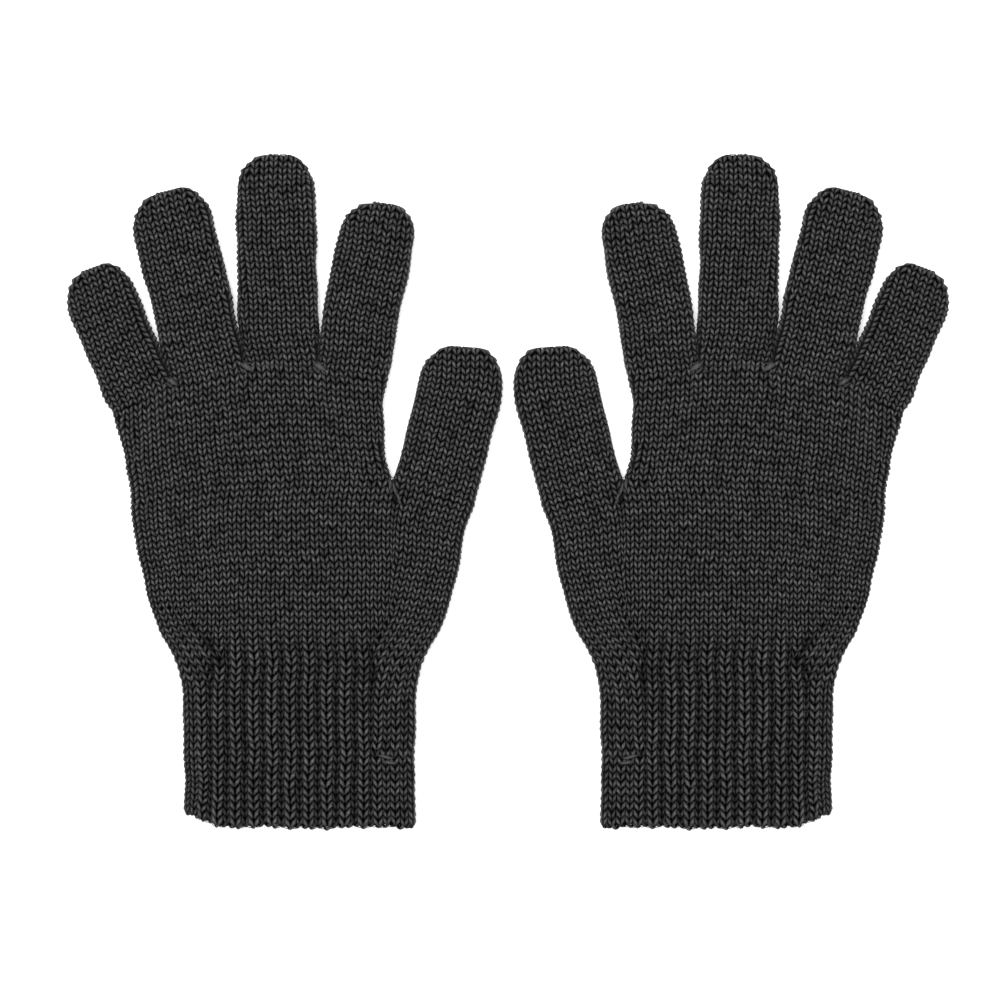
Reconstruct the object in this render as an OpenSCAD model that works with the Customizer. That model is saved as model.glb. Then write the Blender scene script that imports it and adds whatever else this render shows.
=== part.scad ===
// A pair of machine-knitted gloves, lying flat with the palms down and the fingers along +Y.
// The left glove lies at -X and the right glove is its mirror image at +X. Millimetres.
// Each glove is a set of flat knitted tubes: a ribbed cuff, a palm and five digits, which meet
// at fold lines. Every tube is hollow, so that the inside is open from the cuff to the tips.

/* [Pair] */
// Distance from the middle of the pair to the middle line of a cuff
cuff_x = 77.1; // [72:0.1:110]

/* [Fabric] */
// Height of a flattened tube, over both layers
thick = 10; // [9.6:0.1:14]
// Thickness of one layer of knitting
wall = 2.3; // [1.8:0.1:2.6]

/* [Glove] */
// Length over all, from the cuff's edge to the middle fingertip
glove_len = 249; // [230:1:290]
// Height of the wrist fold line below the thumb line
wrist_y = 59; // [55:1:70]

/* [Cuff] */
// Width of the ribbed cuff
cuff_w = 84.7; // [76:0.1:96]
// Width of the cuff where it opens out to the palm
wrist_w = 94.4; // [90:0.1:100]
// Length of the stretch over which the cuff opens out
flare_len = 19; // [12:1:24]
// Length of the bound edge at the cuff's mouth
edge_len = 3; // [2:0.5:5]
// Number of turns of elastic yarn laid into the cuff
elastic_turns = 6; // [3:1:6]
// Distance from one elastic turn to the next
elastic_pitch = 6.4; // [4:0.1:6.4]
// Width of an elastic turn
elastic_w = 1.2; // [0.8:0.1:2]
// Depth that an elastic turn lies into the cuff's inner face
elastic_t = 0.8; // [0.5:0.1:1]

/* [Palm] */
// Width of the palm at the wrist end
palm_root_w = 102; // [98:0.5:106]
// Width of the palm halfway up to the thumb line
palm_mid_w = 117; // [110:0.5:120]
// Distance from the middle line to the palm's outer side at the thumb line
palm_left = 62.9; // [60:0.1:66]

/* [Middle finger] */
// Distance of the middle finger from the cuff's middle line, towards the little finger
middle_x = 6; // [0:0.5:10]
// Length from the finger's fold line to its tip
middle_len = 78.6; // [70:0.1:90]
// Width where the finger leaves the palm
middle_w = 27; // [24:0.1:29]

/* [Ring finger] */
// Length from the finger's fold line to its tip
ring_len = 70.3; // [60:0.1:85]
// Width where the finger leaves the palm
ring_w = 27.9; // [24:0.1:29]
// Lean away from the middle finger, in degrees
ring_lean = 12; // [10:0.5:15]

/* [Little finger] */
// Length from the finger's fold line to its tip
little_len = 50; // [42:0.1:65]
// Width where the finger leaves the palm
little_w = 25.2; // [23:0.1:27]
// Lean away from the middle finger, in degrees
little_lean = 21; // [20:0.5:26]

/* [Index finger] */
// Length from the finger's fold line to its tip
index_len = 64; // [55:0.1:80]
// Width where the finger leaves the palm
index_w = 25.4; // [24:0.1:28]
// Lean away from the middle finger, in degrees
index_lean = 10.5; // [9:0.5:14]

/* [Thumb] */
// Distance of the thumb's fold line from the cuff's middle line
thumb_x = 49.6; // [48:0.1:52]
// Length from the thumb's fold line to its tip
thumb_len = 54.3; // [46:0.1:66]
// Width where the thumb leaves the palm
thumb_w = 30.6; // [28:0.1:31]
// Lean away from the palm, in degrees
thumb_lean = 13.8; // [12:0.1:18]

/* [Digits] */
// Radius of a fingertip's corners, seen from above
tip_corner = 9; // [7:0.5:10]
// Width of the free gap left between neighbouring digits at the fold line
digit_gap = 2.2; // [2:0.1:2.8]
// Extra width of a digit above its fold line, which a folded digit also has beside its neighbour
digit_swell = 1.2; // [0:0.1:1.4]
// Thickness of the closing row at a fingertip
closing_t = 1.2; // [0.8:0.1:2]

/* [Stitching] */
// Radius of the yarn lashing at a crotch
join_r = 1.2; // [0.8:0.1:1.4]
// Thickness of the yarn tail sewn in at the cuff
tail_t = 0.7; // [0.5:0.1:1]

/* [Hidden] */
SIDES = ["left", "right"];
FINGERS = ["index", "middle", "ring", "little"];
DIGITS = concat(["thumb"], FINGERS);
CROTCHES = ["index_middle", "middle_ring", "ring_little"];
PIECES = concat(
    ["cuff", "cuff_elastic", "cuff_edge", "cuff_tail_stitch", "lower_palm", "upper_palm", "thumb"],
    [for (finger = FINGERS) str(finger, "_finger")],
    [for (digit = DIGITS) str(digit, "_tip_closing")],
    [for (crotch = CROTCHES) str(crotch, "_join")],
    ["thumb_join"]
);
NODES = [for (side = SIDES, piece = PIECES) str(side, "_", piece)];
node = "all";

$fn = 48;
// Half the thickness, which is also the radius that a tube is rounded to about its fold line
half = thick / 2;
// Height of the space between the two layers
inner_h = thick - 2 * wall;
// Distance from a fold line to the palm's end behind it
fold_room = half + 0.5;
// Run of a digit from its fold line to its full width
swell_start = 2;
swell_end = 15;
// Overrun of a cutting shape past the face that it opens
past = 1;
// Distance of a crotch lashing behind the palm's end
join_back = 1.8;
// Height of the flat at a fingertip, which carries the closing row
tip_flat = 4;
// Bars of the tail sewn in at the cuff: length, width, distance apart and place
tail_len = 5.2;
tail_w = 1;
tail_step = 1.9;
tail_at = [29.6, -98.2];

edge_y = -glove_len / 2;
cuff_y = -wrist_y;
base_y = glove_len / 2 - middle_len;

// Unit vectors along and across a digit that leans to the right by this angle
function along(lean) = [sin(lean), cos(lean)];
function across(lean) = [cos(lean), -sin(lean)];

// Ends of the fold lines: the crotches between the fingers and the outer ends
middle_left = [-middle_x - middle_w / 2, base_y];
middle_right = [-middle_x + middle_w / 2, base_y];
ring_left = middle_left - ring_w * across(-ring_lean);
little_left = ring_left - little_w * across(-little_lean);
index_right = middle_right + index_w * across(index_lean);

// Each digit: name, middle of its fold line, lean, width at the fold line, length
DIGIT_SIZES = [
    ["thumb", [thumb_x, 0], thumb_lean, thumb_w, thumb_len],
    ["index", (middle_right + index_right) / 2, index_lean, index_w, index_len],
    ["middle", (middle_left + middle_right) / 2, 0, middle_w, middle_len],
    ["ring", (ring_left + middle_left) / 2, -ring_lean, ring_w, ring_len],
    ["little", (little_left + ring_left) / 2, -little_lean, little_w, little_len],
];
THUMB = 0;
INDEX = 1;
MIDDLE = 2;
RING = 3;
LITTLE = 4;
function place(digit) = DIGIT_SIZES[digit][1];
function lean(digit) = DIGIT_SIZES[digit][2];
function width(digit) = DIGIT_SIZES[digit][3];
function length(digit) = DIGIT_SIZES[digit][4];

// Point across and along a digit from the middle of its fold line
function at(digit, side, run) =
    place(digit) + side * across(lean(digit)) + run * along(lean(digit));

// Crossing of the lines that run behind two digits' fold lines, at this distance along both
function meet(a, b, run) =
    let (
        u = along(lean(a)),
        v = along(lean(b)),
        p = u * place(a) + run,
        q = v * place(b) + run,
        d = u[0] * v[1] - u[1] * v[0]
    )
    [(p * v[1] - q * u[1]) / d, (u[0] * q - v[0] * p) / d];

// Corner of the palm beside the thumb's crotch
crotch_x = at(THUMB, -thumb_w / 2, -fold_room)[0];

// Outline of the palm above the thumb line. The sides come in by inset and the ends go out by over.
function upper_palm_outline(inset, over) = [
    [-palm_left + inset, -over],
    at(LITTLE, -little_w / 2 + inset, -fold_room + over),
    meet(RING, LITTLE, -fold_room + over),
    meet(MIDDLE, RING, -fold_room + over),
    meet(INDEX, MIDDLE, -fold_room + over),
    at(INDEX, index_w / 2 - inset, -fold_room + over),
    [crotch_x - inset, -over],
];

// Outline of the palm below the thumb line, which also opens to the thumb
function lower_palm_outline(inset, over) = [
    [-palm_left + inset, over],
    [crotch_x - inset, over],
    [crotch_x - inset, -inset - over],
    at(THUMB, -thumb_w / 2 + inset, -fold_room + over),
    at(THUMB, thumb_w / 2 - inset, -fold_room + over),
    [palm_mid_w / 2 - inset, -wrist_y / 2],
    [palm_root_w / 2 - inset, cuff_y + fold_room - over],
    [-palm_root_w / 2 + inset, cuff_y + fold_room - over],
    [-palm_mid_w / 2 + inset, -wrist_y / 2],
];

// Outline of the cuff, from its round end above the fold line down to the level low
function cuff_outline(inset, low, high) = [
    [-wrist_w / 2 + inset, high],
    [-wrist_w / 2 + inset, cuff_y],
    [-cuff_w / 2 + inset, cuff_y - flare_len],
    [-cuff_w / 2 + inset, low],
    [cuff_w / 2 - inset, low],
    [cuff_w / 2 - inset, cuff_y - flare_len],
    [wrist_w / 2 - inset, cuff_y],
    [wrist_w / 2 - inset, high],
];

// Two layers of knitting with a space between them, open where the cavity passes the ends
module flat_tube(outline, cavity) {
    difference() {
        linear_extrude(thick) polygon(outline);
        translate([0, 0, wall]) linear_extrude(inner_h) polygon(cavity);
    }
}

// Outline of a digit seen from above, with round corners at the tip
module digit_plan(base_w, full_w, len, corner, reach) {
    polygon([
        [-base_w / 2, -reach],
        [base_w / 2, -reach],
        [base_w / 2, swell_start],
        [full_w / 2, swell_end],
        [full_w / 2, len - corner],
        [-full_w / 2, len - corner],
        [-full_w / 2, swell_end],
        [-base_w / 2, swell_start],
    ]);
    translate([-full_w / 2 + corner, len - 2 * corner])
        square([full_w - 2 * corner, 2 * corner]);
    for (side = [-1, 1])
        translate([side * (full_w / 2 - corner), len - corner]) circle(r = corner);
}

// Bar with two round sides: width over all, height, length along Y from 0
module round_sided_bar(w, h, len) {
    rotate([-90, 0, 0]) linear_extrude(len) {
        square([w - h, h], center = true);
        for (side = [-1, 1]) translate([side * (w - h) / 2, 0]) circle(d = h);
    }
}

// Side view of a digit, swept across it: round about the fold line and at the tip
module digit_side(w, h, len) {
    flat = min(tip_flat, h);
    tip_centre = len - sqrt(h * h - flat * flat) / 2;
    translate([-w / 2, 0, 0]) rotate([90, 0, 90]) linear_extrude(w) intersection() {
        union() {
            circle(d = h);
            translate([0, -h / 2]) square([tip_centre, h]);
            translate([tip_centre, 0]) circle(d = h);
        }
        translate([-h, -h]) square([len + h, 2 * h]);
    }
}

// A digit along +Y from its fold line, centred on the fold line's height
module digit_solid(digit) {
    base_w = width(digit) - digit_gap;
    full_w = base_w + digit_swell;
    len = length(digit) - closing_t;
    difference() {
        intersection() {
            translate([0, -thick, 0]) round_sided_bar(full_w, thick, len + 2 * thick);
            digit_side(full_w + 2 * past, thick, len);
            translate([0, 0, -thick]) linear_extrude(2 * thick)
                digit_plan(base_w, full_w, len, tip_corner, thick);
        }
        intersection() {
            translate([0, -thick, 0])
                round_sided_bar(full_w - 2 * wall, inner_h, len - wall + thick);
            translate([0, 0, -inner_h]) linear_extrude(2 * inner_h)
                digit_plan(base_w - 2 * wall, full_w - 2 * wall, len - wall, tip_corner - wall, thick);
        }
    }
}

module at_digit(digit) {
    translate([place(digit)[0], place(digit)[1], half]) rotate([0, 0, -lean(digit)]) children();
}

module digit(number) {
    color("dimgray") at_digit(number) digit_solid(number);
}

// The short gathered row that shuts a fingertip
module tip_closing(number) {
    row_w = width(number) - digit_gap + digit_swell - 2 * tip_corner;
    color("black") at_digit(number)
        translate([-row_w / 2, length(number) - closing_t, -tip_flat / 2])
        cube([row_w, closing_t, tip_flat]);
}

// Lashing that ties the palm's two layers together at a crotch
module lashing(point) {
    color("black") translate([point[0], point[1], wall]) cylinder(r = join_r, h = inner_h);
}

module finger_join(a, b) {
    lashing(meet(a, b, -fold_room - join_back));
}

module thumb_join() {
    lashing(at(THUMB, -thumb_w / 2 + wall + join_back, -fold_room - join_back));
}

module upper_palm() {
    color("slategray") flat_tube(upper_palm_outline(0, 0), upper_palm_outline(wall, past));
}

module lower_palm() {
    color("gray") flat_tube(lower_palm_outline(0, 0), lower_palm_outline(wall, past));
}

// One flattened turn round the inside of the cuff, and the stretch of it that leads to the next
module elastic_turn(inner_w, len) {
    rotate([-90, 0, 0]) linear_extrude(len) difference() {
        square([inner_w + 2 * elastic_t, inner_h + 2 * elastic_t], center = true);
        square([inner_w, inner_h], center = true);
    }
}

module elastic_yarn() {
    inner_w = cuff_w - 2 * wall;
    first_y = edge_y + edge_len + elastic_pitch / 2;
    run = (elastic_turns - 1) * elastic_pitch;
    for (turn = [0 : elastic_turns - 1])
        translate([0, first_y + turn * elastic_pitch, half]) elastic_turn(inner_w, elastic_w);
    translate([inner_w / 2, first_y, half - elastic_w / 2]) cube([elastic_t, run, elastic_w]);
}

module cuff_elastic() {
    color("whitesmoke") elastic_yarn();
}

module cuff() {
    low = edge_y + edge_len;
    top = cuff_y + half;
    color("darkslategray") difference() {
        intersection() {
            flat_tube(cuff_outline(0, low, top), cuff_outline(wall, low - past, top + past));
            translate([-wrist_w, cuff_y, half]) rotate([90, 0, 90]) linear_extrude(2 * wrist_w) {
                circle(r = half);
                translate([-glove_len, -half]) square([glove_len, thick]);
            }
        }
        elastic_yarn();
    }
}

// The thicker first rows at the cuff's mouth
module cuff_edge() {
    color("black") translate([0, edge_y, half]) rotate([-90, 0, 0]) linear_extrude(edge_len)
        difference() {
            square([cuff_w, thick], center = true);
            square([cuff_w - 2 * wall, inner_h], center = true);
        }
}

// The end of the yarn, sewn back through the cuff as two short bars joined by a turn
module cuff_tail_stitch() {
    color("black") translate([tail_at[0], tail_at[1], thick]) {
        cube([tail_len, tail_w, tail_t]);
        translate([tail_w, -tail_step, 0]) cube([tail_len, tail_w, tail_t]);
        translate([tail_len - tail_w, -tail_step, 0]) cube([tail_w, tail_step + tail_w, tail_t]);
    }
}

// The right glove is the left one's mirror image
module on_side(side) {
    mirror([side == "right" ? 1 : 0, 0, 0]) translate([-cuff_x, 0, 0]) children();
}

function wanted(side, piece) = node == "all" || node == str(side, "_", piece);

module glove(side) {
    if (wanted(side, "cuff")) cuff();
    if (wanted(side, "cuff_elastic")) cuff_elastic();
    if (wanted(side, "cuff_edge")) cuff_edge();
    if (wanted(side, "cuff_tail_stitch")) cuff_tail_stitch();
    if (wanted(side, "lower_palm")) lower_palm();
    if (wanted(side, "upper_palm")) upper_palm();
    if (wanted(side, "thumb")) digit(THUMB);
    if (wanted(side, "index_finger")) digit(INDEX);
    if (wanted(side, "middle_finger")) digit(MIDDLE);
    if (wanted(side, "ring_finger")) digit(RING);
    if (wanted(side, "little_finger")) digit(LITTLE);
    if (wanted(side, "thumb_tip_closing")) tip_closing(THUMB);
    if (wanted(side, "index_tip_closing")) tip_closing(INDEX);
    if (wanted(side, "middle_tip_closing")) tip_closing(MIDDLE);
    if (wanted(side, "ring_tip_closing")) tip_closing(RING);
    if (wanted(side, "little_tip_closing")) tip_closing(LITTLE);
    if (wanted(side, "index_middle_join")) finger_join(INDEX, MIDDLE);
    if (wanted(side, "middle_ring_join")) finger_join(MIDDLE, RING);
    if (wanted(side, "ring_little_join")) finger_join(RING, LITTLE);
    if (wanted(side, "thumb_join")) thumb_join();
}

for (side = SIDES) on_side(side) glove(side);
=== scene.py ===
import math

import bpy
import numpy as np
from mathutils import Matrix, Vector


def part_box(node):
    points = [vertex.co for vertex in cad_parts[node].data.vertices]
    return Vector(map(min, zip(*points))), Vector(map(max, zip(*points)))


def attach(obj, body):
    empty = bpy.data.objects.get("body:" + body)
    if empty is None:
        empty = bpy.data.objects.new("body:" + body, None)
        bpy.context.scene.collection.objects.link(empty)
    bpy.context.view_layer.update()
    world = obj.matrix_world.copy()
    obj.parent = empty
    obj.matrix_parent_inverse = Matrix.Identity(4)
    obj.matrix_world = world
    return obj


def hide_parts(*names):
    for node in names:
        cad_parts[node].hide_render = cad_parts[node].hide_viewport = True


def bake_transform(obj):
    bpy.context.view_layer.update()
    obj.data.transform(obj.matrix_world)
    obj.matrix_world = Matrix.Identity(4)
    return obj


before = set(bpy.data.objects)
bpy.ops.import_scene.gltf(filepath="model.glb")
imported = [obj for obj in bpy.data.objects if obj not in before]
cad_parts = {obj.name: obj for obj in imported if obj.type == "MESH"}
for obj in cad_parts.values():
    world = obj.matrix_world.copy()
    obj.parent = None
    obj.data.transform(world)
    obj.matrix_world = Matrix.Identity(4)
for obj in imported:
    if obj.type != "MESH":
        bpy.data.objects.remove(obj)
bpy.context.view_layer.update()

# ---------------------------------------------------------------------------
# Sizes, in millimetres. A glove is built in its own plan: x = 0 is the cuff's middle line and
# y = 0 is the thumb's hinge line. The left glove keeps the plan and the right one mirrors it.
# ---------------------------------------------------------------------------
MM = 0.001
REST_Z = 5.0
CUFF_X = -(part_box("left_cuff")[0].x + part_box("left_cuff")[1].x) / 2 / MM
FINGER_WALE = 3.4
FINGER_COURSE = 2.24
PALM_WALE = 3.4
LOWER_WALE = 3.36
CUFF_WALE = 3.385
HALF_THICK = 3.6
YARN_OUT = 0.6
WRIST_Y = -59.0
MOUTH_Y = -123.2

# The far ends of the lines where the sections meet, as (x, y): the finger line below the fingers,
# and the thumb line at the thumb's crotch, which goes on over the thumb on the lower palm.
FINGER_LEFT = (-68.5, 30.5)
FINGER_RIGHT = (31.4, 41.6)
THUMB_LEFT = (-60.7, -6.1)
THUMB_CROTCH = (33.2, 3.9)
THUMB_RIGHT = (63.2, -3.9)

# A digit's tip: the gap between its end and its first course, and how long its round part is.
TIP_GAP = 2.4
TIP_CAP = 12.8

# One loop of yarn: sideways lean, length in courses, depth, and the yarn's radii.
LEAN = 0.272
REACH = 0.92
DEPTH = 0.8
PLUMP_R = 0.76
PLUMP_H = 0.62
THIN = 0.16
POINTED = 2.5
SEGMENTS = 12
SIDES = 6

# The cuff's ribs and the wrist's creases: depth of a valley, swelling of a ridge, depth and
# width of a crease. The width is in wales.
RIB_DEPTH = 1.9
RIB_SWELL = 0.22
CREASE_DEPTH = 0.5
CREASE_WIDTH = 0.75

SEED = 7
rng = np.random.default_rng(SEED)


# ---------------------------------------------------------------------------
# Curves through named points
# ---------------------------------------------------------------------------
def smooth_curve(points):
    """A function that runs smoothly through (position, value) points and stays level past the ends."""
    xs = np.array([p[0] for p in points], float)
    ys = np.array([p[1] for p in points], float)
    step = np.diff(xs)
    slope = np.diff(ys) / step
    tangent = np.zeros(len(xs))
    tangent[0] = slope[0]
    tangent[-1] = slope[-1]
    for i in range(1, len(xs) - 1):
        if slope[i - 1] * slope[i] > 0:
            w1 = 2 * step[i] + step[i - 1]
            w2 = step[i] + 2 * step[i - 1]
            tangent[i] = (w1 + w2) / (w1 / slope[i - 1] + w2 / slope[i])

    def at(x):
        x = np.asarray(x, float)
        inside = np.clip(x, xs[0], xs[-1])
        i = np.clip(np.searchsorted(xs, inside) - 1, 0, len(xs) - 2)
        t = (inside - xs[i]) / step[i]
        a = ys[i] * (1 + 2 * t) * (1 - t) ** 2 + step[i] * tangent[i] * t * (1 - t) ** 2
        b = ys[i + 1] * t * t * (3 - 2 * t) - step[i] * tangent[i + 1] * t * t * (1 - t)
        return a + b

    return at


def ease(x):
    """0 below 0, 1 above 1, and smooth between."""
    x = np.clip(x, 0.0, 1.0)
    return x * x * (3 - 2 * x)


def mix(a, b, share):
    """The value that lies this share of the way from a to b."""
    return a + (b - a) * share


# ---------------------------------------------------------------------------
# The sections of the glove. Each is a tube: row(v, theta) gives points of the yarn's middle
# surface, where v counts courses towards the cuff and theta turns round the tube from the
# middle of the back over the right side.
# ---------------------------------------------------------------------------
THETA = np.linspace(-np.pi, np.pi, 721)
ROUNDNESS = 2.5


def section(theta, power=ROUNDNESS):
    s = np.sin(theta)
    c = np.cos(theta)
    across = np.sign(s) * np.abs(s) ** (2 / power)
    up = np.sign(c) * np.abs(c) ** (2 / power)
    return across, up


def drift(x, y):
    """The small sideways wander that hand-laid knitting has. It is the same for each section."""
    dx = 0.22 * np.sin(0.19 * y + 0.10 * x + 1.0) + 0.14 * np.sin(0.37 * y - 0.23 * x)
    dy = 0.32 * np.sin(0.16 * x + 0.07 * y) + 0.16 * np.sin(0.41 * x - 0.19 * y + 2.0)
    return x + dx, y + dy


class Digit:
    """A finger or the thumb: a flat tube along a bent middle line, with a rounded tip."""

    def __init__(self, line, half_width, root_turn, wale_shift, spiral=0.0, tip_turn=0.0):
        steps = [0.0]
        for a, b in zip(line[:-1], line[1:]):
            steps.append(steps[-1] + math.dist(a, b))
        self.length = steps[-1]
        self.x_at = smooth_curve([(s, p[0]) for s, p in zip(steps, line)])
        self.y_at = smooth_curve([(s, p[1]) for s, p in zip(steps, line)])
        self.half_width = smooth_curve(half_width)
        self.root_turn = root_turn
        self.tip_turn = tip_turn
        self.courses = int(round((self.length - TIP_GAP) / FINGER_COURSE))
        self.course = (self.length - TIP_GAP) / (self.courses - 0.5)
        self.wale = FINGER_WALE
        self.shift = wale_shift
        self.spiral = spiral
        self.crease = None

    def along(self, v):
        return self.length - TIP_GAP - v * self.course

    def middle(self, s):
        """Point and direction of the middle line, carried on straight past its ends."""
        inside = min(max(s, 0.0), self.length)
        h = 0.4
        lo = max(inside - h, 0.0)
        hi = min(inside + h, self.length)
        p = np.array([self.x_at(inside), self.y_at(inside)])
        d = np.array([self.x_at(hi) - self.x_at(lo), self.y_at(hi) - self.y_at(lo)])
        d /= np.linalg.norm(d)
        return p + d * (s - inside), d

    def row(self, v, theta, plain=False):
        s = self.along(v)
        q = min(max((s - (self.length - TIP_CAP)) / TIP_CAP, 0.0), 1.05)
        point, direction = self.middle(s)
        rounding = math.sqrt(1 - (0.965 * min(q, 1.0)) ** 2)
        width = self.half_width(min(s, self.length - TIP_CAP * 0.7)) * rounding
        width = max(width - YARN_OUT, 2.0)
        thick = HALF_THICK * (1 - 0.38 * q * q)
        across, up = section(theta)
        side = np.array([direction[1], -direction[0]])
        at_root = 1 - ease(s / 14.0)
        at_tip = ease((s - self.length + 22) / 20.0)
        turn = self.root_turn * at_root + self.tip_turn * at_tip
        c = math.cos(turn)
        k = math.sin(turn)
        side = np.array([side[0] * c - side[1] * k, side[0] * k + side[1] * c])
        x = point[0] + side[0] * across * width
        y = point[1] + side[1] * across * width
        x, y = drift(x, y)
        z = REST_Z - (HALF_THICK - thick) * 0.5 + up * thick
        return np.stack([x, y, z], -1)

    def quarter_wales(self, v):
        return None

    def phase(self, v):
        return self.shift + self.spiral * (self.courses - v)


# Outlines of the hand and cuff: (y, x) down the left side and down the right side.
LEFT_SIDE = smooth_curve(
    [
        (-124.5, -42.7),
        (-86.8, -43.0),
        (-75.7, -43.6),
        (-67.0, -44.7),
        (-59.0, -48.0),
        (-50.7, -52.1),
        (-42.4, -55.5),
        (-31.3, -58.2),
        (-14.6, -61.2),
        (0.0, -62.9),
        (18.7, -66.1),
        (30.5, -69.8),
    ]
)
RIGHT_SIDE_LOW = smooth_curve(
    [
        (-124.5, 42.7),
        (-86.8, 42.8),
        (-75.7, 43.3),
        (-67.0, 44.8),
        (-59.0, 47.6),
        (-50.7, 52.1),
        (-42.4, 55.5),
        (-31.3, 58.2),
        (-14.6, 61.4),
        (-3.9, 64.9),
    ]
)
RIGHT_SIDE_HIGH = smooth_curve([(3.9, 34.5), (7.6, 33.1), (13.1, 31.6), (29.8, 31.1), (41.6, 32.7)])
CROTCHES = {"little": (-46.9, 40.1), "ring": (-19.5, 45.6), "middle": (7.5, 45.6), "thumb": (34.4, 4.8)}
# The grooves between touching fingers, as lines from foot to head. Shade is painted into the yarn along
# them.
GROOVES = (
    ((-47.6, 42.0), (-52.8, 56.1)),
    ((-19.9, 47.5), (-23.2, 65.3)),
    ((7.4, 47.5), (6.8, 62.0)),
    ((34.5, 4.5), (35.6, -5.0)),
)
FINGER_LINE = smooth_curve(
    [
        (-69.8, 30.3),
        (-58.0, 35.5),
        (-46.9, 40.1),
        (-40.0, 41.4),
        (-33.0, 43.1),
        (-26.0, 44.8),
        (-19.5, 46.0),
        (7.5, 45.8),
        (14.0, 44.6),
        (20.0, 43.8),
        (27.0, 42.7),
        (32.7, 41.7),
    ]
)
THUMB_LINE = smooth_curve(
    [
        (-62.0, -6.1),
        (-38.7, 0.2),
        (-14.7, 3.1),
        (9.8, 3.9),
        (34.5, 4.0),
        (41.0, 2.3),
        (48.2, 0.35),
        (56.0, -1.9),
        (64.5, -4.6),
    ]
)


# How much more the wales lean under each finger than straight down the hand.
FINGER_LEAN = smooth_curve(
    [(-62, 0.30), (-50, 0.26), (-33, 0.19), (-6, 0.03), (20, -0.10), (32, -0.12)]
)


class UpperPalm:
    """The hand between the finger line and the thumb line."""

    courses = 17
    wale = PALM_WALE
    crease = None

    def row(self, v, theta, plain=False):
        f = (v + 0.5) / self.courses
        left_y = mix(FINGER_LEFT[1], THUMB_LEFT[1], f)
        right_y = mix(FINGER_RIGHT[1], THUMB_CROTCH[1], f)
        left_x = float(LEFT_SIDE(left_y)) + YARN_OUT
        right_x = float(RIGHT_SIDE_HIGH(right_y)) - YARN_OUT
        across, up = section(theta, 3.0)
        share = (across + 1) / 2
        x = mix(left_x, right_x, share)
        x = x + FINGER_LEAN(x) * 38.0 * max(f, 0.0) * (1 - min(f, 1.0)) ** 2 * (1 - across**4)
        top = FINGER_LINE(mix(FINGER_LEFT[0], FINGER_RIGHT[0], share))
        low = THUMB_LINE(mix(THUMB_LEFT[0], THUMB_CROTCH[0], share))
        y = mix(top, low, f)
        thick = np.full(len(x), HALF_THICK)
        pinched = () if plain else ("little", "ring", "middle")
        for name in pinched:
            cx, cy = CROTCHES[name]
            near = np.exp(-(((x - cx) / 2.6) ** 2)) * (1 - ease((cy - y + 1.0) / 7.0))
            thick = thick * (1 - 0.62 * near)
        x, y = drift(x, y)
        return np.stack([x, y, REST_Z + up * thick], -1)

    def quarter_wales(self, v):
        return None

    def phase(self, v):
        return -0.28


# How many wales the back holds from its middle to a side fold, at each height.
ON_SIDE = smooth_curve(
    [
        (-124, 13.0),
        (-90, 13.2),
        (-75, 13.5),
        (-60, 15.1),
        (-50, 17.0),
        (-42, 18.3),
        (-25.7, 18.8),
        (-3.5, 19.0),
    ]
)

# The wales within STEADY of the middle keep their own width all the way down.
STEADY = 7.0

# The slanting creases at the wrist: how many wales from the middle each lies, at each height.
# Outside a crease the wales run along the side fold, with their own width.
CREASE_LEFT = smooth_curve(
    [(-80, 9.6), (-60, 9.4), (-55, 10.4), (-47, 14.0), (-42, 16.5), (-39, 19.0), (-38, 30)]
)
CREASE_RIGHT = smooth_curve(
    [(-80, 7.6), (-60, 7.9), (-52, 9.4), (-44, 11.0), (-30, 11.1), (0, 10.4), (8, 10.3)]
)
SIDE_WALE = smooth_curve([(-80, 3.24), (-60, 3.12), (-42, 3.04), (0, 3.38)])

# How many wales lie between the outermost border on the back and the left or right fold.
FOLD_GAP = (1.9, 1.92)


def ribbed(number):
    """How clearly the ribs stand up at this wale: fully on the cuff's middle, less at its sides."""
    return 1 - 0.65 * (ease((number - 7.1) / 2.0) + ease((-10.4 - number) / 2.0))


class Gathered:
    """What the lower palm and the cuff share: ribs, and the creases where wales end."""

    ribbed = staticmethod(ribbed)

    def quarter_wales(self, v):
        return float(ON_SIDE(self.level(v)))

    def crease_at(self, v):
        return float(CREASE_LEFT(self.level(v))), float(CREASE_RIGHT(self.level(v)))

    def side_wale(self, v):
        return float(SIDE_WALE(self.level(v)))

    def tuck(self, v):
        """How deep the knitting is tucked in along a crease, from 0 to 1."""
        y = self.level(v)
        return float(ease((y + 78.0) / 12.0) * (1 - 0.9 * ease((y + 50.0) / 10.0)))

    def crease(self, v):
        """How far the ribs have formed: 0 on the plain palm and 1 on the cuff."""
        return ease((-46.0 - self.level(v)) / 16.0)


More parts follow.
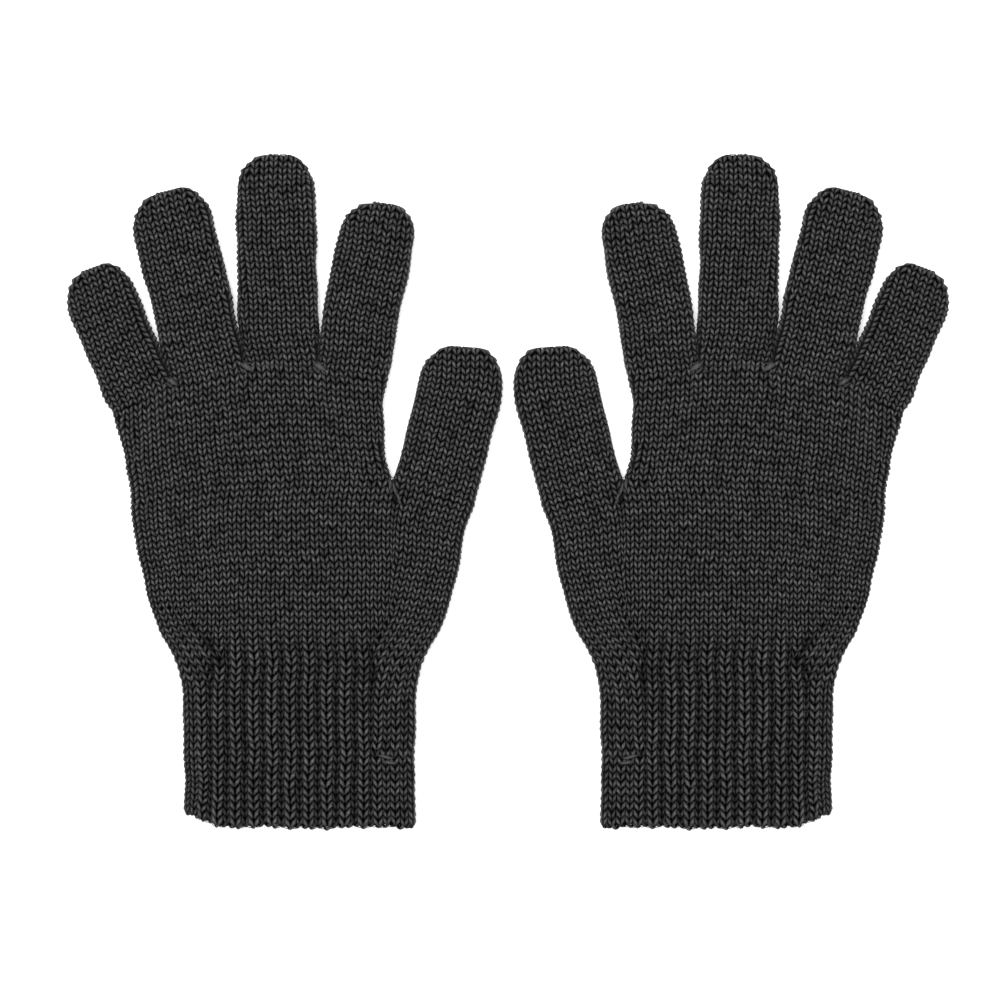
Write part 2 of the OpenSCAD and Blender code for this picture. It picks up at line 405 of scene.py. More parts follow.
class LowerPalm(Gathered):
    """The hand between the thumb line and the wrist, narrowing into the cuff."""

    courses = 25
    wale = LOWER_WALE

    def level(self, v):
        return -1.0 + (WRIST_Y + 1.0) * (v + 0.5) / self.courses

    def row(self, v, theta, plain=False):
        f = (v + 0.5) / self.courses
        across, up = section(theta, 3.0)
        share = (across + 1) / 2
        top = THUMB_LINE(mix(THUMB_LEFT[0], THUMB_RIGHT[0], share))
        y = mix(top, WRIST_Y, f)
        left_y = mix(THUMB_LEFT[1], WRIST_Y, f)
        right_y = mix(THUMB_RIGHT[1], WRIST_Y, f)
        left_x = float(LEFT_SIDE(left_y)) + YARN_OUT
        right_x = float(RIGHT_SIDE_LOW(right_y)) - YARN_OUT
        x = mix(left_x, right_x, share)
        cx, cy = CROTCHES["thumb"]
        near = np.exp(-(((x - cx) / 2.6) ** 2)) * (1 - ease((cy - y + 1.0) / 8.0))
        thick = HALF_THICK * (1 - (0.0 if plain else 0.6) * near)
        x, y = drift(x, y)
        return np.stack([x, y, REST_Z + up * thick], -1)

    def phase(self, v):
        return 0.09 + 0.50 * min(max(v / self.courses, 0.0), 1.0)


class Cuff(Gathered):
    """The ribbed tube below the wrist."""

    courses = 23
    wale = CUFF_WALE

    def level(self, v):
        return WRIST_Y + (MOUTH_Y - WRIST_Y) * (v + 0.5) / self.courses

    def row(self, v, theta, plain=False):
        across, up = section(theta, 3.0)
        share = (across + 1) / 2
        y0 = self.level(v)
        left_x = float(LEFT_SIDE(y0)) + YARN_OUT
        right_x = float(RIGHT_SIDE_LOW(y0)) - YARN_OUT
        x = mix(left_x, right_x, share)
        corner = ease((-95.0 - y0) / 28.0) * ease((0.19 - share) / 0.19)
        scallop = 0.5 + 0.5 * np.cos(np.pi * (x / CUFF_WALE - 1.09))
        y = y0 + corner * 4.6 - scallop * 0.45 * ease((v - 19.5) / 3.5)
        x, y = drift(x, y)
        return np.stack([x, y, REST_Z + up * HALF_THICK], -1)

    def phase(self, v):
        return 0.59


# ---------------------------------------------------------------------------
# Yarn
# ---------------------------------------------------------------------------
class Mesh:
    """Collects yarn tubes and dark sheets of painted shade as one mesh, with what the yarn material
    reads.
    """

    def __init__(self):
        self.points = []
        self.quads = []
        # shade carries the painted light and shade; tone is each stitch's own random tone; run, turn_c
        # and turn_s place the fibre streaks.
        self.data = {"shade": [], "run": [], "turn_c": [], "turn_s": [], "tone": []}
        self.count = 0

    def add(self, points, quads, **values):
        self.points.append(points)
        self.quads.append(quads + self.count)
        for name, rows in self.data.items():
            rows.append(np.broadcast_to(values[name], len(points)).astype(np.float32))
        self.count += len(points)


def unit(v):
    return v / np.maximum(np.linalg.norm(v, axis=-1, keepdims=True), 1e-9)


def from_middle(points):
    """Directions from the tube's flat middle out through these points."""
    return unit(points * np.array([0.02, 0, 1.0]) - np.array([0, 0, REST_Z]))


def yarn_tube(mesh, path, outward, radius, height, light, tone, closed, bare=0.5):
    """A yarn along path. Its flat side faces outward, and light scales the light and shade painted into
    its colour.

    bare runs from 0, where only the yarn's crest is painted lit and its sides are painted in shade, to
    1, where the painted light goes all round it.
    """
    if closed:
        tangent = np.roll(path, -1, 0) - np.roll(path, 1, 0)
    else:
        tangent = np.gradient(path, axis=0)
    tangent = unit(tangent)
    across = unit(np.cross(tangent, outward))
    up = np.cross(across, tangent)
    angle = np.arange(SIDES) * 2 * np.pi / SIDES + np.pi / 6
    c = np.cos(angle)[None, :, None]
    s = np.sin(angle)[None, :, None]
    wide = across[:, None] * c * radius[:, None, None]
    high = up[:, None] * s * height[:, None, None]
    ring = path[:, None] + wide + high
    n = len(path)
    last = n if closed else n - 1
    i = np.arange(last)[:, None]
    k = np.arange(SIDES)[None, :]
    i2 = (i + 1) % n
    k2 = (k + 1) % SIDES
    quads = np.stack([i * SIDES + k, i * SIDES + k2, i2 * SIDES + k2, i2 * SIDES + k], 2)
    step = np.linalg.norm(np.diff(path, axis=0), axis=1)
    run = np.concatenate([[0.0], np.cumsum(step)])
    light = np.broadcast_to(light, n)[:, None]
    bare = np.broadcast_to(bare, n)[:, None]
    # Painted highlight and shade: the yarn's outward crest is painted brightest, and its sides and
    # underside are painted darker.
    rise = 0.12 + 1.8 * bare
    top = np.clip((np.sin(angle)[None, :] + rise) / (1 + rise), 0, 1) ** (2.6 - 1.2 * bare)
    mesh.add(
        ring.reshape(-1, 3),
        quads.reshape(-1, 4),
        shade=(light * top).reshape(-1),
        run=np.repeat(run, SIDES),
        turn_c=np.tile(np.cos(angle), n),
        turn_s=np.tile(np.sin(angle), n),
        tone=np.repeat(np.broadcast_to(tone, n), SIDES),
    )


def rows_of(region, v):
    """The closed curve of one row: its points, length round, angle and tangent."""
    points = region.row(v, THETA)
    step = np.linalg.norm(np.diff(region.row(v, THETA, plain=True), axis=0), axis=1)
    arc = np.concatenate([[0.0], np.cumsum(step)])
    zero = np.interp(0.0, THETA, arc)
    arc = arc - zero
    whole = arc[-1] - arc[0]
    arc2 = np.concatenate([arc[:-1], arc + whole])
    pts2 = np.concatenate([points[:-1], points])
    theta2 = np.concatenate([THETA[:-1], THETA + 2 * np.pi])
    return {"arc": arc2, "points": pts2, "theta": theta2, "whole": whole}


def along_row(row, arc):
    """The points that lie this far along a row."""
    return np.stack([np.interp(arc, row["arc"], row["points"][:, i]) for i in range(3)], -1)


def quarters(row):
    """The row's length on the back from its middle to the left fold and to the right fold."""
    left, right = np.interp([-np.pi / 2, np.pi / 2], row["theta"], row["arc"])
    return -float(left), float(right)


def inner_arc(region, v, size, quarter):
    """How far from the middle a border lies that is size wales away from it."""
    count = region.quarter_wales(v)
    if count is None or size < STEADY:
        return size * region.wale
    steady = STEADY * region.wale
    return steady + (size - STEADY) * (quarter - steady) / (count - STEADY)


def lay_out(region, row, v):
    """The numbers of the wale borders on a course's back.

    low and high are the last borders that count from the middle. Past them come the borders that
    keep their distance from the side fold. The wales between the two end in the wrist's crease.
    """
    phase = region.phase(v)
    ends = []
    extra = []
    for side, quarter in zip((0, 1), quarters(row)):
        count = region.quarter_wales(v)
        offset = phase if side else -phase
        whole = quarter / region.wale if count is None else count
        last = math.floor(whole - 0.6 - offset)
        more = 0
        if count is not None and region.crease_at(v)[side] < last + offset:
            last = math.floor(region.crease_at(v)[side] - offset)
            room = quarter - inner_arc(region, v, last + offset, quarter)
            more = max(math.floor(room / region.side_wale(v) - FOLD_GAP[side] - 0.4) + 1, 0)
        ends.append(max(last, 1))
        extra.append(more)
    low = -ends[0]
    high = ends[1]
    return {"low": low, "high": high, "numbers": list(range(low - extra[0], high + extra[1] + 1))}


def face_arcs(region, row, v, plan):
    """Where the borders of this plan lie along the row on the glove's back."""
    numbers = plan["numbers"]
    out = []
    for number in numbers:
        u = number + region.phase(v)
        side = int(u > 0)
        quarter = quarters(row)[side]
        if plan["low"] <= number <= plan["high"]:
            arc = inner_arc(region, v, abs(u), quarter)
        else:
            from_fold = numbers[-1] - number if side else number - numbers[0]
            arc = quarter - (from_fold + FOLD_GAP[side]) * region.side_wale(v)
        arc = min(arc, quarter - 0.15 * region.wale)
        out.append(math.copysign(arc, u))
    return np.array(out)


def groove_light(points):
    """How much light reaches points near the grooves where two fingers touch, from 0 to 1."""
    light = np.ones(len(points))
    for foot, head in GROOVES:
        a = np.array(foot)
        b = np.array(head)
        share = np.clip(((points[:, :2] - a) @ (b - a)) / ((b - a) @ (b - a)), 0, 1)
        gap = np.linalg.norm(points[:, :2] - a - share[:, None] * (b - a), axis=1)
        light *= 1 - 0.85 * np.exp(-((gap / 1.15) ** 2))
    return light


def knit(mesh, region, first=0, last=None, thick=1.0):
    """Knits the courses first..last-1 of a region into mesh, each as one closed run of loops."""
    last = region.courses if last is None else last
    for j in range(first, last):
        rows = [rows_of(region, j + r) for r in (-1, 0, 1)]
        plan = lay_out(region, rows[1], j)
        numbers = plan["numbers"]
        borders = []
        sides = None
        for r, row in zip((-1, 0, 1), rows):
            top = face_arcs(region, row, j + r, plan)
            top = np.maximum.accumulate(top + np.arange(len(top)) * 1e-4)
            top_theta = np.interp(top, row["arc"], row["theta"])
            under = np.interp(np.pi - top_theta[::-1], row["theta"], row["arc"])
            if sides is None or r == 0:
                right_gap = under[0] - top[-1]
                left_gap = top[0] + row["whole"] - under[-1]
                cells = [round(gap / region.wale / 2 + 0.08) for gap in (right_gap, left_gap)]
                sides = [max(2, 2 * int(count)) for count in cells]
            borders.append((top, under, row["whole"]))
        full = []
        for top, under, whole in borders:
            right = np.linspace(top[-1], under[0], sides[0] + 1)[1:-1]
            left = np.linspace(under[-1], top[0] + whole, sides[1] + 1)[1:]
            full.append(np.concatenate([top, right, under, left]))
        names = np.concatenate(
            [
                numbers,
                numbers[-1] + np.arange(1, sides[0]),
                numbers[::-1],
                numbers[0] - np.arange(1, sides[1]),
                [numbers[0]],
            ]
        ).astype(float)
        n = len(full[1]) - 1
        t = np.arange(n * SEGMENTS) * 2 * np.pi / SEGMENTS
        stitch = np.minimum((t / (2 * np.pi)).astype(int), n - 1)
        jit = rng.normal(0, 1, (n, 6))[stitch]
        showing = np.sin(t) ** 2
        ridge = 0.0 if region.crease is None else float(region.crease(j))
        lean = LEAN + 0.03 * ridge + 0.018 * jit[:, 0]
        k = t / (2 * np.pi) + lean * np.sin(2 * t) + 0.030 * jit[:, 1] * showing
        k = np.clip(k, 0, n)
        if region.crease is not None:
            number_here = np.interp(k, np.arange(n + 1), names)
            direction = np.where(np.diff(names)[np.minimum(k.astype(int), n - 1)] >= 0, 1.0, -1.0)
            ridge = ridge * region.ribbed(number_here)
            from_ridge = np.pi * (number_here - 0.5)
            pull = 0.109 * np.sin(from_ridge) + 0.037 * np.sin(2 * from_ridge)
            k_bent = k + direction * ridge * pull
        else:
            k_bent = k
        offset = REACH * np.cos(t) + 0.05 * jit[:, 2] * showing
        at = []
        tan = []
        for row, border in zip(rows, full):
            arc = np.interp(k_bent, np.arange(n + 1), border)
            at.append(along_row(row, arc))
            tan.append(along_row(row, arc + 0.3) - along_row(row, arc - 0.3))
        o = offset[:, None]
        w0, w1, w2 = o * (o - 1) / 2, 1 - o * o, o * (o + 1) / 2
        place = at[0] * w0 + at[1] * w1 + at[2] * w2
        tangent = tan[0] * w0 + tan[1] * w1 + tan[2] * w2
        down = at[0] * (o - 0.5) - at[1] * 2 * o + at[2] * (o + 0.5)
        normal = unit(np.cross(down, tangent))
        width = np.interp(np.minimum(k, n - 1e-6), np.arange(n) + 0.5, np.diff(full[1]))
        size = np.clip(width / FINGER_WALE, 0.5, 1.1) * thick
        depth = DEPTH * np.clip(size, 0.7, 1.1)
        lift = -depth * np.cos(2 * t) + 0.05 * jit[:, 3] * showing
        lift = lift * (0.3 + 0.7 * np.abs(normal[:, 2]))
        at_edge = (1 - np.abs(normal[:, 2])) ** 1.5
        # Painted light and shade: each leg's middle is painted bright, and its ends, where it dives
        # under the next course, are painted dark. On the ribs and towards the side folds the bright
        # part is painted wider.
        light = showing ** (5.3 - 1.5 * ridge - 3.0 * at_edge)
        # Each stitch's own random tone, and painted shade in the grooves between the fingers.
        light = light * (1 + 0.13 * jit[:, 4]) * groove_light(place)
        if region.crease is not None:
            # Along a crease where wales end, the loops are tucked in and also painted darker: painted
            # shade.
            for seam in (plan["low"] - 0.5, plan["high"] + 0.5):
                if numbers[0] < seam < numbers[-1]:
                    tuck = region.tuck(j) * np.exp(-(((number_here - seam) / CREASE_WIDTH) ** 2))
                    light = light * (1 - 0.5 * tuck)
                    lift = lift - CREASE_DEPTH * tuck * np.abs(normal[:, 2])
            # The ribs' valleys sink in, and their loops are also painted darker there: painted shade.
            # The ridges swell.
            valley = 0.5 - 0.5 * np.cos(from_ridge)
            lift = lift - ridge * RIB_DEPTH * valley**1.3 * np.abs(normal[:, 2])
            light = light * (1 - ridge * (0.12 * valley + 0.78 * valley**3))
            size = size * (1 + RIB_SWELL * ridge * (1 - valley) - 0.1 * ridge * valley)
        # Painted light: loops towards the side folds are painted brighter.
        light = light * (1 + 0.9 * at_edge)
        path = place + normal * lift[:, None]
        plump = THIN + (1 - THIN) * showing**POINTED
        yarn_tube(
            mesh,
            path,
            normal,
            PLUMP_R * size * plump,
            PLUMP_H * size * plump,
            np.clip(light, 0, 1.8),
            0.5 + 0.5 * np.tanh(0.5 * jit[:, 5]),
            True,
            bare=at_edge,
        )


def painted_shade_sheet(mesh, region, first, last, closed_tip=False):
    """The knitting's dark middle sheet: painted shade that shows only between the loops. Towards the
    side folds it is painted lighter.
    """
    columns = 120
    levels = np.arange(first - 0.5, last + 0.51, 1.0)
    grid = []
    shade = []
    for v in levels:
        row = rows_of(region, v)
        arc = np.linspace(0, row["whole"], columns, endpoint=False)
        p = along_row(row, arc)
        t = unit(np.roll(p, -1, 0) - np.roll(p, 1, 0))
        flat = np.array([0.0, 1.0, 0.0])
        n = unit(np.cross(t, np.broadcast_to(flat, t.shape)))
        centre = p.mean(0)
        n = np.where(((p - centre) * n).sum(-1, keepdims=True) < 0, -n, n)
        facing = np.abs(n[:, 2:3])
        inset = 0.1 - 0.65 * (1 - facing) ** 2
        if region.crease is not None:
            inset = inset + 1.5 * float(region.crease(v)) * facing**2
        grid.append(p - n * inset)
        # Painted light: the sheet is painted lighter towards the side folds.
        shade.append(0.7 * (1 - facing[:, 0]) ** 1.5)
    if closed_tip:
        shade.insert(0, shade[0])
        grid.insert(0, np.broadcast_to(grid[0].mean(0), grid[0].shape))
    grid = np.array(grid)
    m = len(grid)
    i = np.arange(m - 1)[:, None]
    k = np.arange(columns)[None, :]
    k2 = (k + 1) % columns
    here = i * columns
    below = (i + 1) * columns
    quads = np.stack([here + k, here + k2, below + k2, below + k], 2)
    mesh.add(
        grid.reshape(-1, 3),
        quads.reshape(-1, 4),
        shade=np.array(shade).reshape(-1),
        run=0.0,
        turn_c=1.0,
        turn_s=0.0,
        tone=0.5,
    )


def strand(mesh, points, radius, height=None, out=(0, 0, 1), tone=0.6, light=1.0, samples=22):
    """A loose strand through points, thickest in its middle."""
    pts = np.array(points, float)
    s = np.concatenate([[0], np.cumsum(np.linalg.norm(np.diff(pts, axis=0), axis=1))])
    curves = [smooth_curve(list(zip(s, pts[:, i]))) for i in range(3)]
    t = np.linspace(0, s[-1], samples)
    path = np.stack([c(t) for c in curves], -1)
    bulge = 0.30 + 0.70 * np.sin(np.pi * np.linspace(0, 1, samples)) ** 0.8
    outward = np.broadcast_to(np.array(out, float), path.shape)
    height = radius if height is None else height
    # Painted shade: the strand is painted darker towards its thin ends.
    yarn_tube(mesh, path, outward, radius * bulge, height * bulge, light * bulge**0.7, tone, False)


# ---------------------------------------------------------------------------
# Materials
# ---------------------------------------------------------------------------
def yarn_material(name, dark, bright, twist=1.2, streak=0.8):
    """Matte yarn of three plies, with streaks of fibre that turn round it and a fine fuzz. Its base
    colour carries painted light and shade from the shade attribute.
    """
    mat = bpy.data.materials.new(name)
    mat.use_nodes = True
    nodes = mat.node_tree.nodes
    links = mat.node_tree.links
    shader = nodes["Principled BSDF"]
    shader.inputs["Roughness"].default_value = 0.92
    shader.inputs["Specular IOR Level"].default_value = 0.02
    shader.inputs["Sheen Weight"].default_value = 0.01
    shader.inputs["Sheen Roughness"].default_value = 0.6

    def attribute(label):
        node = nodes.new("ShaderNodeAttribute")
        node.attribute_name = label
        return node.outputs["Fac"]

    def maths(kind, a, b=None):
        node = nodes.new("ShaderNodeMath")
        node.operation = kind
        for i, value in enumerate((a, b)):
            if value is None:
                continue
            if isinstance(value, (int, float)):
                node.inputs[i].default_value = value
            else:
                links.new(value, node.inputs[i])
        return node.outputs[0]

    run = attribute("run")
    turn = maths("ARCTAN2", attribute("turn_s"), attribute("turn_c"))
    spun = maths("ADD", turn, maths("MULTIPLY", run, twist))
    coords = nodes.new("ShaderNodeCombineXYZ")
    links.new(maths("COSINE", spun), coords.inputs[0])
    links.new(maths("SINE", spun), coords.inputs[1])
    links.new(maths("MULTIPLY", run, 0.45), coords.inputs[2])
    fibres = nodes.new("ShaderNodeTexNoise")
    fibres.inputs["Scale"].default_value = 1.3
    fibres.inputs["Detail"].default_value = 3.0
    fibres.inputs["Roughness"].default_value = 0.65
    links.new(coords.outputs[0], fibres.inputs["Vector"])
    fuzz = nodes.new("ShaderNodeTexNoise")
    fuzz.inputs["Scale"].default_value = 2600.0
    fuzz.inputs["Detail"].default_value = 2.0
    where = nodes.new("ShaderNodeTexCoord")
    links.new(where.outputs["Object"], fuzz.inputs["Vector"])
    streaks = maths("SUBTRACT", fibres.outputs[0], 0.5)
    grain = maths("SUBTRACT", fuzz.outputs[0], 0.5)
    # Painted shade: the grooves between the plies are painted darker.
    ply = maths("ABSOLUTE", maths("SINE", maths("MULTIPLY", spun, 1.5)))
    groove = maths("POWER", maths("SUBTRACT", 1.0, ply), 2.0)
    vary = maths("MULTIPLY", streaks, streak * 2.6)
    vary = maths("SUBTRACT", vary, maths("MULTIPLY", groove, streak * 0.4))
    vary = maths("ADD", vary, maths("MULTIPLY", grain, streak * 0.8))
    tone = maths("MULTIPLY", maths("SUBTRACT", attribute("tone"), 0.5), 0.25)
    gain = maths("ADD", maths("ADD", vary, tone), 1.0 + streak * 0.09)
    # The base colour runs from dark, painted shade, to bright, the painted highlight on a crest, by the
    # shade attribute times the fibre streaks and tone.
    lit = maths("MULTIPLY", attribute("shade"), gain)
    level = nodes.new("ShaderNodeMapRange")
    level.inputs["From Max"].default_value = 1.0
    level.inputs["To Min"].default_value = dark
    level.inputs["To Max"].default_value = bright
    level.clamp = False
    links.new(lit, level.inputs["Value"])
    floor_level = maths("MAXIMUM", level.outputs["Result"], dark * 0.6)
    links.new(floor_level, shader.inputs["Base Color"])
    bump = nodes.new("ShaderNodeBump")
    bump.inputs["Strength"].default_value = 0.35
    bump.inputs["Distance"].default_value = 0.00012
    height = maths("ADD", fibres.outputs[0], maths("MULTIPLY", fuzz.outputs[0], 0.4))
    links.new(height, bump.inputs["Height"])
    links.new(bump.outputs[0], shader.inputs["Normal"])
    return mat


# dark is the colour of painted shade, bright that of the painted highlight on the yarn's crest.
KNIT = yarn_material("knit_yarn", 0.0006, 0.087)
RIB = yarn_material("rib_yarn", 0.0009, 0.089)
SEWING = yarn_material("sewing_yarn", 0.0012, 0.085)
ELASTIC = yarn_material("elastic_thread", 0.006, 0.03, twist=5.0, streak=0.2)


# ---------------------------------------------------------------------------
# Pieces
# ---------------------------------------------------------------------------
def to_frame(points, side):
    """Plan millimetres to frame metres. The right glove mirrors the left one."""
    out = np.array(points, float) * MM
    out[..., 0] -= CUFF_X * MM
    if side == "right":
        out[..., 0] *= -1
    return out


def make_piece(mesh, name, side, material):
    points = to_frame(np.concatenate(mesh.points), side)
    quads = np.concatenate(mesh.quads)
    if side == "right":
        quads = quads[:, ::-1]
    data = bpy.data.meshes.new(name)
    data.vertices.add(len(points))
    data.vertices.foreach_set("co", points.astype(np.float32).ravel())
    data.loops.add(quads.size)
    data.loops.foreach_set("vertex_index", quads.astype(np.int32).ravel())
    data.polygons.add(len(quads))
    data.polygons.foreach_set("loop_start", np.arange(0, quads.size, 4, dtype=np.int32))
    data.update(calc_edges=True)
    for label, rows in mesh.data.items():
        layer = data.attributes.new(label, "FLOAT", "POINT")
        layer.data.foreach_set("value", np.concatenate(rows))
    data.shade_smooth()
    data.materials.append(material)
    obj = bpy.data.objects.new(name, data)
    bpy.context.scene.collection.objects.link(obj)
    return obj


DIGITS = {
    "little_finger": Digit(
        [(-58.3, 35.3), (-63.0, 45.9), (-68.0, 57.5), (-73.0, 70.0), (-77.6, 82.6)],
        [(0, 12.6), (5, 13.3), (20, 12.9), (60, 12.8)],
        math.radians(0.0),
        -0.17,
        tip_turn=math.radians(2.0),
    ),
    "ring_finger": Digit(
        [(-33.2, 42.9), (-37.2, 56.1), (-39.6, 68.6), (-42.4, 79.7), (-45.2, 90.8), (-49.7, 111.2)],
        [(0, 13.9), (5, 14.8), (20, 14.9), (70, 14.9)],
        math.radians(-4.0),
        0.28,
        tip_turn=math.radians(2.0),
    ),
    "middle_finger": Digit(
        [(-6.0, 45.6), (-8.0, 65.3), (-8.4, 90.8), (-8.9, 113.0), (-7.6, 124.5)],
        [(0, 13.5), (5, 14.5), (20, 14.9), (50, 14.6), (80, 14.3)],
        math.radians(-5.0),
        0.22,
        spiral=-0.03,
        tip_turn=math.radians(5.0),
    ),
    "index_finger": Digit(
        [(20.2, 43.7), (22.0, 62.0), (23.4, 68.6), (25.7, 79.7), (27.9, 90.8), (31.0, 106.7)],
        [(0, 12.7), (5, 13.6), (20, 14.1), (66, 14.1)],
        math.radians(-3.0),
        -0.43,
        tip_turn=math.radians(4.0),
    ),
    "thumb": Digit(
        [(49.6, -0.1), (54.8, 18.7), (58.8, 35.3), (60.4, 46.4), (61.0, 53.5)],
        [(0, 15.5), (20, 15.6), (56, 15.7)],
        math.radians(0.0),
        -0.16,
    ),
}


def bend(obj):
    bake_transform(obj)


LOWER_SPLIT = 13


def close_tip(digit, short, side):
    """The gathered row that shuts a digit's tip: short wraps over its end."""
    mesh = Mesh()
    end, direction = digit.middle(digit.length - 1.9)
    across = np.array([direction[1], -direction[0]])
    turn = np.arange(0, 5 * 2 * np.pi, 2 * np.pi / 14)
    spread = np.linspace(-3.4, 3.4, len(turn))
    around = 1.55
    path = np.zeros((len(turn), 3))
    path[:, 0] = end[0] + across[0] * spread + direction[0] * around * np.sin(turn) * 0.8
    path[:, 1] = end[1] + across[1] * spread + direction[1] * around * np.sin(turn) * 0.8
    path[:, 2] = REST_Z - 0.7 + 2.2 * np.cos(turn)
    out = path - np.array([end[0], end[1], REST_Z - 0.7])
    out -= np.outer(out[:, :2] @ across, [across[0], across[1], 0])
    rad = np.full(len(turn), 0.62)
    yarn_tube(mesh, path, unit(out), rad, rad * 0.85, 0.95, 0.5, False)
    piece = make_piece(mesh, f"closing_{side}_{short}", side, SEWING)
    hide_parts(f"{side}_{short}_tip_closing")
    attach(piece, f"{side}_{short}_body")


def knit_digits(side):
    """The fingers and the thumb, each with its closed tip."""
    for name, digit in DIGITS.items():
        mesh = Mesh()
        knit(mesh, digit)
        painted_shade_sheet(mesh, digit, 0, digit.courses, closed_tip=True)
        piece = make_piece(mesh, f"knit_{side}_{name}", side, KNIT)
        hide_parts(f"{side}_{name}")
        short = name.replace("_finger", "")
        bend(piece)
        close_tip(digit, short, side)


def knit_upper_palm(side):
    """The hand above the thumb's crotch."""
    upper = UpperPalm()
    mesh = Mesh()
    knit(mesh, upper)
    painted_shade_sheet(mesh, upper, 0, upper.courses)
    piece = make_piece(mesh, f"knit_{side}_upper_palm", side, KNIT)
    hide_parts(f"{side}_upper_palm")
    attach(piece, f"{side}_hand")


def knit_lower_palm(side):
    """The hand below the thumb's crotch, in two pieces that meet at course LOWER_SPLIT."""
    lower = LowerPalm()
    for part, first, last in (("high", 0, LOWER_SPLIT), ("low", LOWER_SPLIT, lower.courses)):
        mesh = Mesh()
        knit(mesh, lower, first, last)
        painted_shade_sheet(mesh, lower, first, last - 1)
        piece = make_piece(mesh, f"knit_{side}_lower_palm_{part}", side, KNIT)
        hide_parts(f"{side}_lower_palm")
        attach(piece, f"{side}_hand")


def knit_cuff(side, cuff):
    """The ribbed tube."""
    mesh = Mesh()
    knit(mesh, cuff)
    painted_shade_sheet(mesh, cuff, 0, cuff.courses - 1)
    piece = make_piece(mesh, f"knit_{side}_cuff", side, RIB)
    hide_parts(f"{side}_cuff")
    bend(piece)


def cord_mouth(side, cuff):
    """The mouth: one thick corded row that follows the ribs' ends."""
    mesh = Mesh()
    row = rows_of(cuff, cuff.courses - 0.2)
    count = 64
    turn = np.arange(count * 10) * 2 * np.pi / 10
    arc = (turn / (2 * np.pi)) / count * row["whole"]
    base = along_row(row, arc)
    outward = from_middle(base)
    rib = 0.5 - 0.5 * np.cos(np.pi * (base[:, 0] / CUFF_WALE - 1.09))
    path = base + outward * (np.cos(turn) * 0.7 - 0.9 - 0.6 * rib)[:, None]
    path[:, 1] += 0.5 + 0.7 * np.sin(turn) + 0.3 * rib
    out = outward * np.cos(turn)[:, None] + np.array([0, 1.0, 0]) * np.sin(turn)[:, None]
    rad = np.full(len(turn), 0.62)
    # Painted shade: the cord is painted darker where it dips into the ribs' valleys.
    yarn_tube(mesh, path, unit(out), rad, rad * 0.85, 0.8 - 0.5 * rib, 0.5, True)
    piece = make_piece(mesh, f"mouth_{side}_cuff_edge", side, RIB)
    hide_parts(f"{side}_cuff_edge")
    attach(piece, f"{side}_cuff_body")


def lay_elastic(side, cuff):
    """The elastic thread laid inside the cuff."""
    mesh = Mesh()
    for level in range(6):
        row = rows_of(cuff, 2.5 + level * 2.6)
        arc = np.linspace(0, row["whole"], 160, endpoint=False)
        path = along_row(row, arc)
        path[:, 2] = REST_Z + (path[:, 2] - REST_Z) * 0.42
        path[:, 0] *= 0.955
        rad = np.full(len(path), 0.42)
        yarn_tube(mesh, path, from_middle(path), rad, rad, 0.8, 0.5, True)
    piece = make_piece(mesh, f"elastic_{side}_cuff", side, ELASTIC)
    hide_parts(f"{side}_cuff_elastic")
    bend(piece)


def sew_tail(side):
    """The yarn's end, sewn back through the cuff."""
    mesh = Mesh()
    top_z = REST_Z + HALF_THICK + 1.0
    for line in (
        ((28.9, -97.6, -1.3), (30.8, -97.7, 0.0), (33.0, -98.3, 0.1), (35.0, -98.7, -1.2)),
        ((30.6, -100.2, -1.3), (32.4, -100.0, 0.0), (34.4, -100.2, 0.0), (36.4, -100.4, -1.3)),
    ):
        strand(mesh, [(x, y, top_z + h) for x, y, h in line], 0.65, 0.5, light=0.75)
    piece = make_piece(mesh, f"tail_{side}_cuff", side, SEWING)
    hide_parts(f"{side}_cuff_tail_stitch")
    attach(piece, f"{side}_cuff_body")


def tie_finger_knots(side):
    """The knots of crossed yarn in the crotches between the fingers."""
    for label, key, scale in (
        ("index_middle_join", "middle", 1.0),
        ("middle_ring_join", "ring", 1.0),
        ("ring_little_join", "little", 0.85),
    ):
        mesh = Mesh()
        cx, cy = CROTCHES[key]
        for up in (1, -1):
            z = REST_Z + up * 3.2
            dz = up * 1.1
            out = (0, 0, up)
            # Each strand's painted light level: the thinner strands are painted darker, as painted
            # shade.
            for line, thick, strand_light in (
                (((-2.2, 1.2, 0), (0.2, 0.1, dz), (2.6, -1.6, 0)), 1.1, 0.85),
                (((-4.6, -1.9, -dz), (-3.4, -1.6, 0.2 * dz), (-2.0, -2.2, -dz)), 0.7, 0.8),
                (((-2.6, -0.4, -0.4 * dz), (-0.8, -1.5, 0.4 * dz), (0.9, -2.7, -0.4 * dz)), 0.5, 0.6),
                (((2.6, 1.4, -dz), (0.6, 1.2, 0), (-1.4, 2.4, -dz)), 0.45, 0.55),
            ):
                points = [(cx + x * scale, cy + y * scale, z + h) for x, y, h in line]
                strand(mesh, points, thick * scale, 0.7 * thick, out, light=strand_light)
        piece = make_piece(mesh, f"knot_{side}_{label}", side, SEWING)
        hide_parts(f"{side}_{label}")
        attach(piece, f"{side}_hand")


def stretch_thumb_stitches(side):
    """The stretched stitches in the thumb's crotch."""
    mesh = Mesh()
    cx, cy = CROTCHES["thumb"]
    for up in (1, -1):
        z = REST_Z + up * 3.0
        dz = up * 1.0
        out = (0, 0, up)
        for line in (
            ((-1.0, 0.2, -dz), (-0.6, -2.6, 0.6 * dz), (-1.8, -6.2, -0.6 * dz)),
            ((0.0, -0.6, -dz), (0.9, -4.2, dz), (2.6, -8.6, -0.6 * dz)),
            ((0.8, -3.2, -dz), (2.4, -7.6, dz), (3.6, -12.0, -0.6 * dz)),
        ):
            strand(mesh, [(cx + x, cy + y, z + h) for x, y, h in line], 0.55, 0.5, out, light=0.75)
    piece = make_piece(mesh, f"knot_{side}_thumb_join", side, SEWING)
    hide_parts(f"{side}_thumb_join")
    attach(piece, f"{side}_hand")


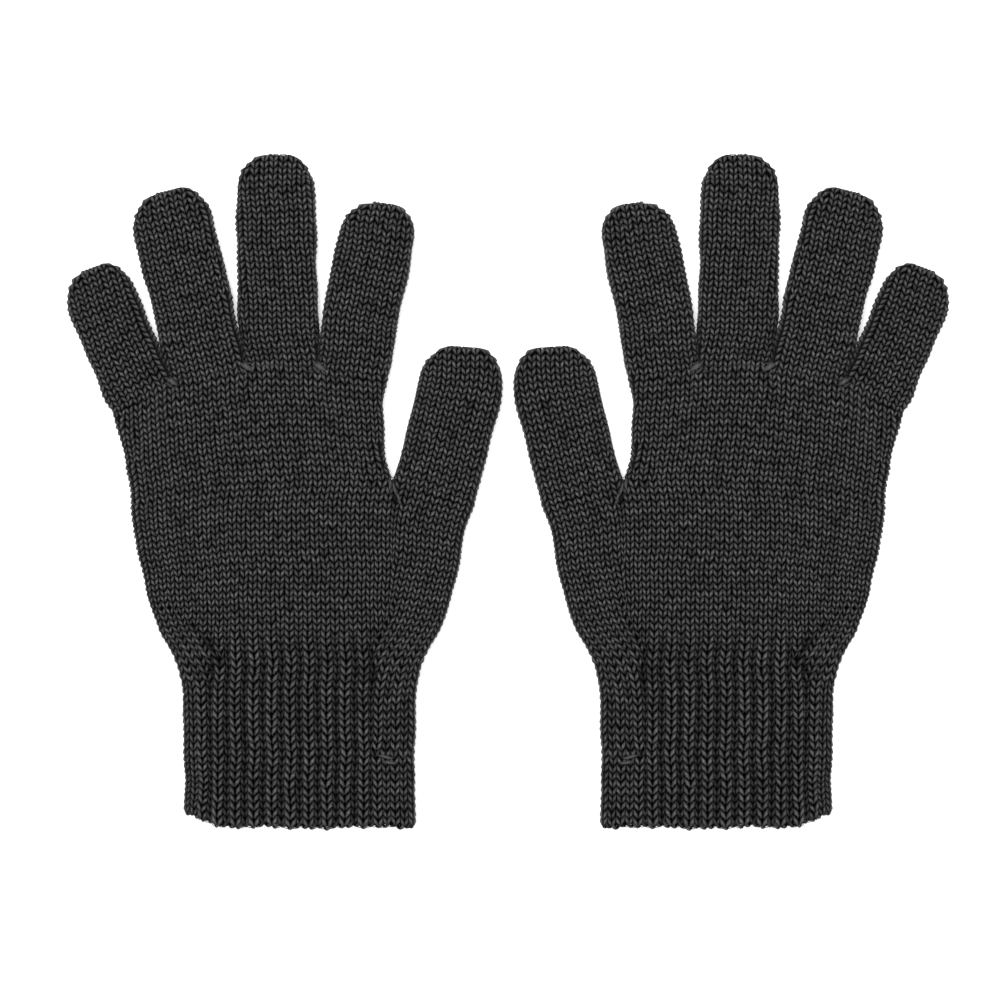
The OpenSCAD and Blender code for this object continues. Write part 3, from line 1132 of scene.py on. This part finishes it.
for side in ("left", "right"):
    rng = np.random.default_rng(SEED)
    cuff = Cuff()
    knit_digits(side)
    knit_upper_palm(side)
    knit_lower_palm(side)
    knit_cuff(side, cuff)
    cord_mouth(side, cuff)
    lay_elastic(side, cuff)
    sew_tail(side)
    tie_finger_knots(side)
    stretch_thumb_stitches(side)

# ---------------------------------------------------------------------------
# Floor, light and camera
# ---------------------------------------------------------------------------
floor_data = bpy.data.meshes.new("floor")
floor_data.from_pydata([(-3, -3, 0), (3, -3, 0), (3, 3, 0), (-3, 3, 0)], [], [(0, 1, 2, 3)])
floor = bpy.data.objects.new("floor", floor_data)
floor.location.z = -0.0003
bpy.context.scene.collection.objects.link(floor)
floor_mat = bpy.data.materials.new("floor_white")
floor_mat.use_nodes = True
floor_shader = floor_mat.node_tree.nodes["Principled BSDF"]
floor_shader.inputs["Base Color"].default_value = (0.92, 0.92, 0.92, 1)
floor_shader.inputs["Roughness"].default_value = 1.0
floor_shader.inputs["Specular IOR Level"].default_value = 0.0
floor_shader.inputs["Emission Color"].default_value = (1, 1, 1, 1)
floor_shader.inputs["Emission Strength"].default_value = 0.3
floor_data.materials.append(floor_mat)

world = bpy.data.worlds.new("studio")
world.use_nodes = True
world.node_tree.nodes["Background"].inputs[0].default_value = (1, 1, 1, 1)
world.node_tree.nodes["Background"].inputs[1].default_value = 0.55
bpy.context.scene.world = world


def area_light(name, place, size, energy):
    data = bpy.data.lights.new(name, "AREA")
    data.size = size
    data.energy = energy
    lamp = bpy.data.objects.new(name, data)
    lamp.location = place
    lamp.rotation_euler = (Vector((0, 0, 0)) - Vector(place)).to_track_quat("-Z", "Y").to_euler()
    bpy.context.scene.collection.objects.link(lamp)


area_light("top_light", (-0.25, 0.35, 1.6), 0.9, 24)
area_light("fill_light", (0.3, -0.3, 1.7), 1.4, 10)

camera_data = bpy.data.cameras.new("camera")
camera_data.lens = 85
camera_data.sensor_width = 36
camera = bpy.data.objects.new("camera", camera_data)
picture = 0.370
camera.location = (-0.00296, -0.0035, REST_Z * MM + picture * 85 / 36)
camera.rotation_euler = (0, 0, 0)
bpy.context.scene.collection.objects.link(camera)
bpy.context.scene.camera = camera
bpy.context.scene.view_settings.view_transform = "Standard"
